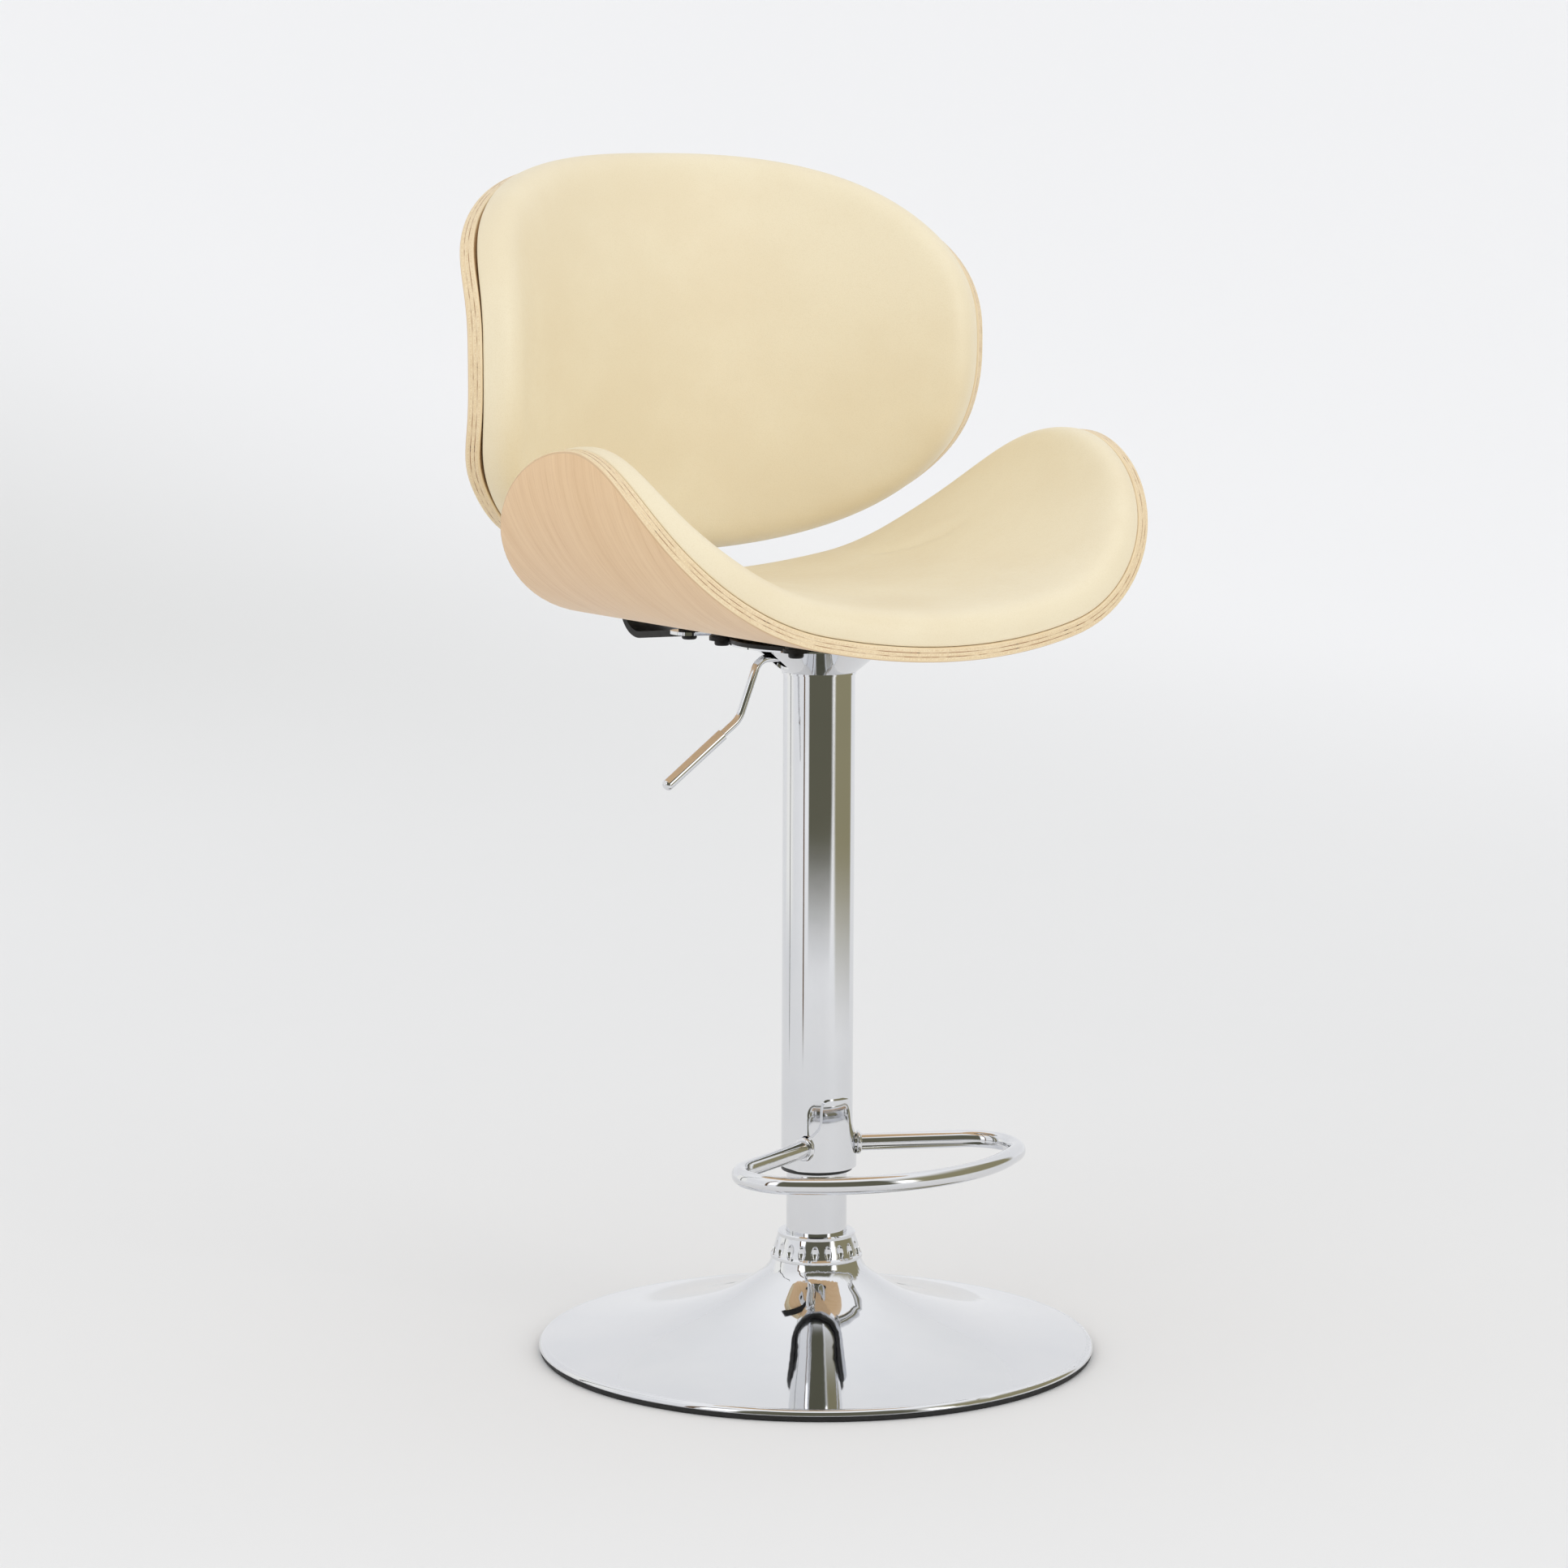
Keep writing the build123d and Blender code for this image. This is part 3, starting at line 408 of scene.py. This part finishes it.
def disc(side, rings):
    """A unit disc of quads, a square grid in the middle and rings outside it: points, quads, outer loop."""
    core = 0.5
    line = np.linspace(-1, 1, side + 1)
    u, v = np.meshgrid(line, line, indexing="ij")
    a, b = u * np.sqrt(1 - v * v / 2), v * np.sqrt(1 - u * u / 2)
    points = [np.stack([a.ravel(), b.ravel()], -1) * core]
    index = np.arange((side + 1) ** 2).reshape(side + 1, side + 1)
    quads = [
        (index[i, j], index[i + 1, j], index[i + 1, j + 1], index[i, j + 1])
        for i in range(side) for j in range(side)
    ]
    loop = [*index[:-1, 0], *index[-1, :-1], *index[:0:-1, -1], *index[0, :0:-1]]
    outline = points[0][loop] / core
    angle = np.arctan2(outline[:, 1], outline[:, 0])
    even = angle[0] + np.arange(len(loop)) * 2 * math.pi / len(loop)
    count = len(points[0])
    for ring in range(1, rings + 1):
        share = ring / rings
        turn = np.unwrap(angle) * (1 - share) + even * share
        size = core + (1 - core) * share
        points.append(np.stack([np.cos(turn), np.sin(turn)], -1) * size)
        new = list(range(count, count + len(loop)))
        quads += [
            (loop[k], new[k], new[(k + 1) % len(new)], loop[(k + 1) % len(loop)]) for k in range(len(loop))
        ]
        loop, count = new, count + len(new)
    return np.concatenate(points), quads, loop


def sheet_solid(name, surface, profile, side, rings, swell=None):
    """A closed piece: a lower disc, the edge loops of a profile of (inset, rise), and an upper disc.

    swell(a, b, inset, rise) gives a rise for every point. Returns the object, and a kind for each face:
    0 lower disc, 1 edge, 2 upper disc."""
    plan, quads, loop = disc(side, rings)
    rows, faces, kinds = [], [], []
    first_inset, first_rise = profile[0]
    last_inset, last_rise = profile[-1]

    def rise_at(ab, inset, rise):
        rise = np.full(len(ab), float(rise))
        return rise if swell is None else swell(ab[:, 0], ab[:, 1], inset, rise)

    lower = surface(plan[:, 0], plan[:, 1], first_inset, rise_at(plan, first_inset, first_rise))
    rows.append(lower)
    faces += [tuple(reversed(q)) for q in quads]
    kinds += [0] * len(quads)
    previous, count = loop, len(plan)
    rim = plan[loop]
    for inset, rise in profile[1:-1]:
        rows.append(surface(rim[:, 0], rim[:, 1], inset, rise_at(rim, inset, rise)))
        new = list(range(count, count + len(loop)))
        faces += [
            (previous[k], previous[(k + 1) % len(new)], new[(k + 1) % len(new)], new[k]) for k in range(len(new))
        ]
        kinds += [1] * len(new)
        previous, count = new, count + len(new)
    rows.append(surface(plan[:, 0], plan[:, 1], last_inset, rise_at(plan, last_inset, last_rise)))
    top = [count + k for k in loop]
    faces += [
        (previous[k], previous[(k + 1) % len(top)], top[(k + 1) % len(top)], top[k]) for k in range(len(top))
    ]
    kinds += [1] * len(top)
    faces += [tuple(count + k for k in q) for q in quads]
    kinds += [2] * len(quads)

    place = np.concatenate([r[0] for r in rows]) * MM
    flat = np.concatenate([r[1] for r in rows]) * MM
    mesh = bpy.data.meshes.new(name)
    mesh.from_pydata(place.tolist(), [], [tuple(int(i) for i in f) for f in faces])
    mesh.polygons.foreach_set("use_smooth", [True] * len(faces))
    laid_flat = mesh.attributes.new("flat", "FLOAT_VECTOR", "POINT")
    laid_flat.data.foreach_set("vector", flat.astype(np.float32).ravel())
    obj = bpy.data.objects.new(name, mesh)
    scene.collection.objects.link(obj)
    mesh.update()
    return obj, kinds


def ply_profile():
    """(inset, rise) round a sanded edge, from the rear face to the pad face, with fine grooves at the glue lines."""
    corner, steps = 1.7, 5
    points = [(corner, 0.0)]
    for k in range(1, steps + 1):
        turn = math.pi / 2 * k / steps
        points.append((corner * (1 - math.sin(turn)), corner * (1 - math.cos(turn))))
    for line in range(2, 6):
        rise = ply * line / 7
        points += [(0.0, rise - 0.22), (0.07, rise), (0.0, rise + 0.22)]
    for k in range(steps, 0, -1):
        turn = math.pi / 2 * k / steps
        points.append((corner * (1 - math.sin(turn)), ply - corner * (1 - math.cos(turn))))
    points.append((corner, ply))
    return points


def shell(name, surface, node):
    obj, kinds = sheet_solid(name, surface, ply_profile(), 40, 14)
    obj.data.materials.append(veneer)
    obj.data.materials.append(ply_edge)
    obj.data.polygons.foreach_set("material_index", [1 if kind == 1 else 0 for kind in kinds])
    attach(obj, "carriage")
    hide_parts(node)
    return obj


shell("seat_ply", seat_point, "seat_shell")
shell("back_ply", back_point, "back_shell")


# ---------------------------------------------------------------- the pads
def pad_profile(gap, roll):
    """(inset, rise) round a pad's edge, from its underside to its face."""
    low = ply + gap
    under = [(8.0, 0.8), (3.5, 0.15), (1.6, 0.05), (0.8, 0.5), (0.2, 1.6), (-0.3, 4.0), (-0.5, 7.5)]
    return [(inset, low + rise) for inset, rise in under + roll]


# the seat's foam falls away over a wide, soft edge; the back's is fuller
seat_roll = [
    (-0.4, 10.5), (0.2, 13.6), (1.4, 16.6), (3.4, 19.2), (6.2, 21.4), (10.0, 23.2), (15.0, 24.6), (22.0, 25.7),
    (31.0, 26.6), (42.0, 27.2), (56.0, 27.6), (74.0, 27.9),
]
back_roll = [
    (-0.4, 11.0), (0.1, 14.5), (1.3, 18.0), (3.4, 21.2), (6.4, 23.9), (10.2, 25.9), (15.0, 27.2), (21.0, 27.9),
    (28.0, 28.1),
]


# each fold in the seat's cover: from and to (along, across), depth, width
seat_folds = (
    ((100.0, 100.0), (210.0, 24.0), 2.6, 7.0),
    ((-60.0, 60.0), (-128.0, 108.0), 0.8, 8.0),
)


def seat_swell(a, b, inset, rise):
    """The middle of the seat stands a little proud, with two soft folds where the cover gathers."""
    face_inset = seat_roll[-1][0]
    if inset < face_inset:
        return rise
    along = (seat_half_length - inset) * a
    across = seat_centre_y + b * (np.where(b < 0, seat_front, seat_rear) - inset)
    crown = 2.2 * (1 - np.hypot(a, b) ** 2) ** 2
    folds = 0
    for (x1, y1), (x2, y2), depth, width in seat_folds:
        length = math.hypot(x2 - x1, y2 - y1)
        ux, uy = (x2 - x1) / length, (y2 - y1) / length
        run = ((along - x1) * ux + (across - y1) * uy) / length
        off = (across - y1) * ux - (along - x1) * uy + 5.0 * np.sin(run * 3.1)
        ends = smoothstep(np.clip(run * 3, 0, 1) * np.clip((1 - run) * 3, 0, 1))
        valley, ridge = np.exp(-((off / width) ** 2)), np.exp(-(((off - 1.7 * width) / width) ** 2))
        folds = folds + depth * ends * (valley - 0.45 * ridge)
    return rise + crown - folds


seat_pad, _ = sheet_solid("seat_cushion", seat_point, pad_profile(0.15, seat_roll), 64, 14, seat_swell)
back_pad, _ = sheet_solid("back_cushion", back_point, pad_profile(0.3, back_roll), 48, 16)
for pad, node in ((seat_pad, "seat_pad"), (back_pad, "back_pad")):
    pad.data.materials.append(upholstery)
    smooth = pad.modifiers.new("smooth", "SUBSURF")
    smooth.levels = smooth.render_levels = 1
    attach(pad, "carriage")
    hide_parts(node)


# ---------------------------------------------------------------- floor, lights and camera
def floor_sheet():
    """Pale paper: flat round the stool, rising gently far away, so that no edge shows."""
    rings, sides = [0.0, 0.5, 1, 2, 3, 4, 5, 6, 7, 8, 10, 12, 15, 18, 22], 96
    points, faces = [(0, 0, 0)], []
    for r in rings[1:]:
        lift = max(r - 5.0, 0) ** 2 * 0.035
        turns = np.linspace(0, 2 * math.pi, sides, endpoint=False)
        points += [(r * math.cos(t), r * math.sin(t), lift) for t in turns]
    faces += [(0, 1 + k, 1 + (k + 1) % sides) for k in range(sides)]
    for i in range(len(rings) - 2):
        low, high = 1 + i * sides, 1 + (i + 1) * sides
        faces += [(low + k, high + k, high + (k + 1) % sides, low + (k + 1) % sides) for k in range(sides)]
    mesh = bpy.data.meshes.new("floor_sheet")
    mesh.from_pydata(points, [], faces)
    mesh.polygons.foreach_set("use_smooth", [True] * len(faces))
    mesh.materials.append(floor_material())
    obj = bpy.data.objects.new("floor_sheet", mesh)
    scene.collection.objects.link(obj)
    return obj


camera_side = math.radians(34.4)
camera_place = Vector((-3.45 * math.sin(camera_side), -3.45 * math.cos(camera_side), 0.9077))


def studio_card(name, near, far, low, high, distance, tone, soft, notch=0.0):
    """A curved card seen only in reflections, from near to far degrees round from the camera's side.

    A notch raises the lower edge at one end of it: the far end, or the near end when it is negative.
    Soft holds the faded shares at the near, far, low and high edges."""
    columns, levels = 48, 12
    points, faces = [], []
    for j in range(levels + 1):
        for i in range(columns + 1):
            turn = camera_side - math.radians(near + (far - near) * i / columns)
            end = i / columns if notch > 0 else 1 - i / columns
            foot = low + abs(notch) * max(0.0, (end - 0.8) / 0.2) ** 1.5
            height = foot + (high - foot) * j / levels
            points.append((-distance * math.sin(turn), -distance * math.cos(turn), height))
    for j in range(levels):
        for i in range(columns):
            k = j * (columns + 1) + i
            faces.append((k, k + 1, k + columns + 2, k + columns + 1))
    mesh = bpy.data.meshes.new(name)
    mesh.from_pydata(points, [], faces)
    share = mesh.attributes.new("share", "FLOAT_VECTOR", "POINT")
    grid = [(i / columns, j / levels, 0.0) for j in range(levels + 1) for i in range(columns + 1)]
    share.data.foreach_set("vector", np.array(grid, np.float32).ravel())
    m = Mat(name)
    place = m.coords("share")
    side, rise = m.axis(place, "X"), m.axis(place, "Y")
    side = m.math("MULTIPLY", m.ramp(side, 0.0, soft[0]), m.ramp(side, 1.0, 1.0 - soft[1]))
    rise = m.math("MULTIPLY", m.ramp(rise, 0.0, soft[2]), m.ramp(rise, 1.0, 1.0 - soft[3]))
    glow = m.tree.nodes.new("ShaderNodeEmission")
    clear = m.tree.nodes.new("ShaderNodeBsdfTransparent")
    both = m.tree.nodes.new("ShaderNodeMixShader")
    glow.inputs["Color"].default_value = (*tone, 1)
    m.link(m.math("MULTIPLY", side, rise), both.inputs[0])
    m.link(clear.outputs[0], both.inputs[1])
    m.link(glow.outputs[0], both.inputs[2])
    m.link(both.outputs[0], m.tree.nodes["Material Output"].inputs["Surface"])
    mesh.materials.append(m.mat)
    obj = bpy.data.objects.new(name, mesh)
    scene.collection.objects.link(obj)
    obj.visible_camera = obj.visible_diffuse = obj.visible_shadow = obj.visible_transmission = False
    return obj


def area_light(name, place, aim, size, power, tone):
    light = bpy.data.lights.new(name, "AREA")
    light.shape, light.size, light.energy, light.color = "SQUARE", size, power, tone
    obj = bpy.data.objects.new(name, light)
    obj.location = place
    obj.rotation_euler = (Vector(aim) - Vector(place)).to_track_quat("-Z", "Y").to_euler()
    scene.collection.objects.link(obj)
    return obj


floor_sheet()
studio_card("dark_room", -34, 52, 0.0, 3.0, 1.50, (0.125, 0.122, 0.087), (0.06, 0.16, 0.058, 0.35), 0.16)
studio_card("dark_side", 44, 128, -0.02, 2.2, 1.25, (0.30, 0.275, 0.17), (0.16, 0.10, 0.10, 0.6), -0.16)
studio_card("stand_line", -103, -99.5, 0.0, 2.0, 1.05, (0.08, 0.08, 0.075), (0.25, 0.25, 0.03, 0.1))
studio_card("door_line", -49.5, -44, 0.0, 2.0, 1.05, (0.14, 0.085, 0.045), (0.25, 0.25, 0.04, 0.1))
studio_card("side_glow", -130, -82, 0.0, 1.2, 1.60, (0.98, 0.98, 0.95), (0.3, 0.3, 0.1, 0.3))

area_light("key", (1.1, -4.6, 1.6), (0, 0, 0.5), 2.2, 36, (1.0, 0.985, 0.96))
area_light("side", (-3.0, -1.2, 1.6), (0, 0, 0.5), 1.6, 8, (0.97, 0.985, 1.0))

world = bpy.data.worlds.new("studio")
scene.world = world
world.use_nodes = True
sky = world.node_tree
direction = sky.nodes.new("ShaderNodeTexCoord").outputs["Generated"]
split = sky.nodes.new("ShaderNodeSeparateXYZ")
height = sky.nodes.new("ShaderNodeMapRange")
height.interpolation_type = "SMOOTHSTEP"
for key, number in (("From Min", 0.40), ("From Max", 1.0), ("To Min", 0.0), ("To Max", 1.0)):
    height.inputs[key].default_value = number
shade = sky.nodes.new("ShaderNodeMix")
shade.data_type = "RGBA"
shade.inputs[6].default_value, shade.inputs[7].default_value = (0.87, 0.875, 0.885, 1), (1.03, 1.035, 1.045, 1)
sky.links.new(direction, split.inputs[0])
sky.links.new(split.outputs["Z"], height.inputs["Value"])
sky.links.new(height.outputs[0], shade.inputs["Factor"])
sky.links.new(shade.outputs[2], sky.nodes["Background"].inputs["Color"])

camera = bpy.data.objects.new("camera", bpy.data.cameras.new("camera"))
camera.data.lens, camera.data.sensor_width = 109.76, 36.0
heading, pitch, roll = math.radians(33.98), math.radians(8.016), 0.0042
camera.matrix_world = (
    Matrix.Translation(camera_place)
    @ Matrix.Rotation(-heading, 4, "Z")
    @ Matrix.Rotation(math.pi / 2 - pitch, 4, "X")
    @ Matrix.Rotation(roll, 4, "Z")
)
scene.collection.objects.link(camera)
scene.camera = camera
scene.view_settings.view_transform = "Standard"
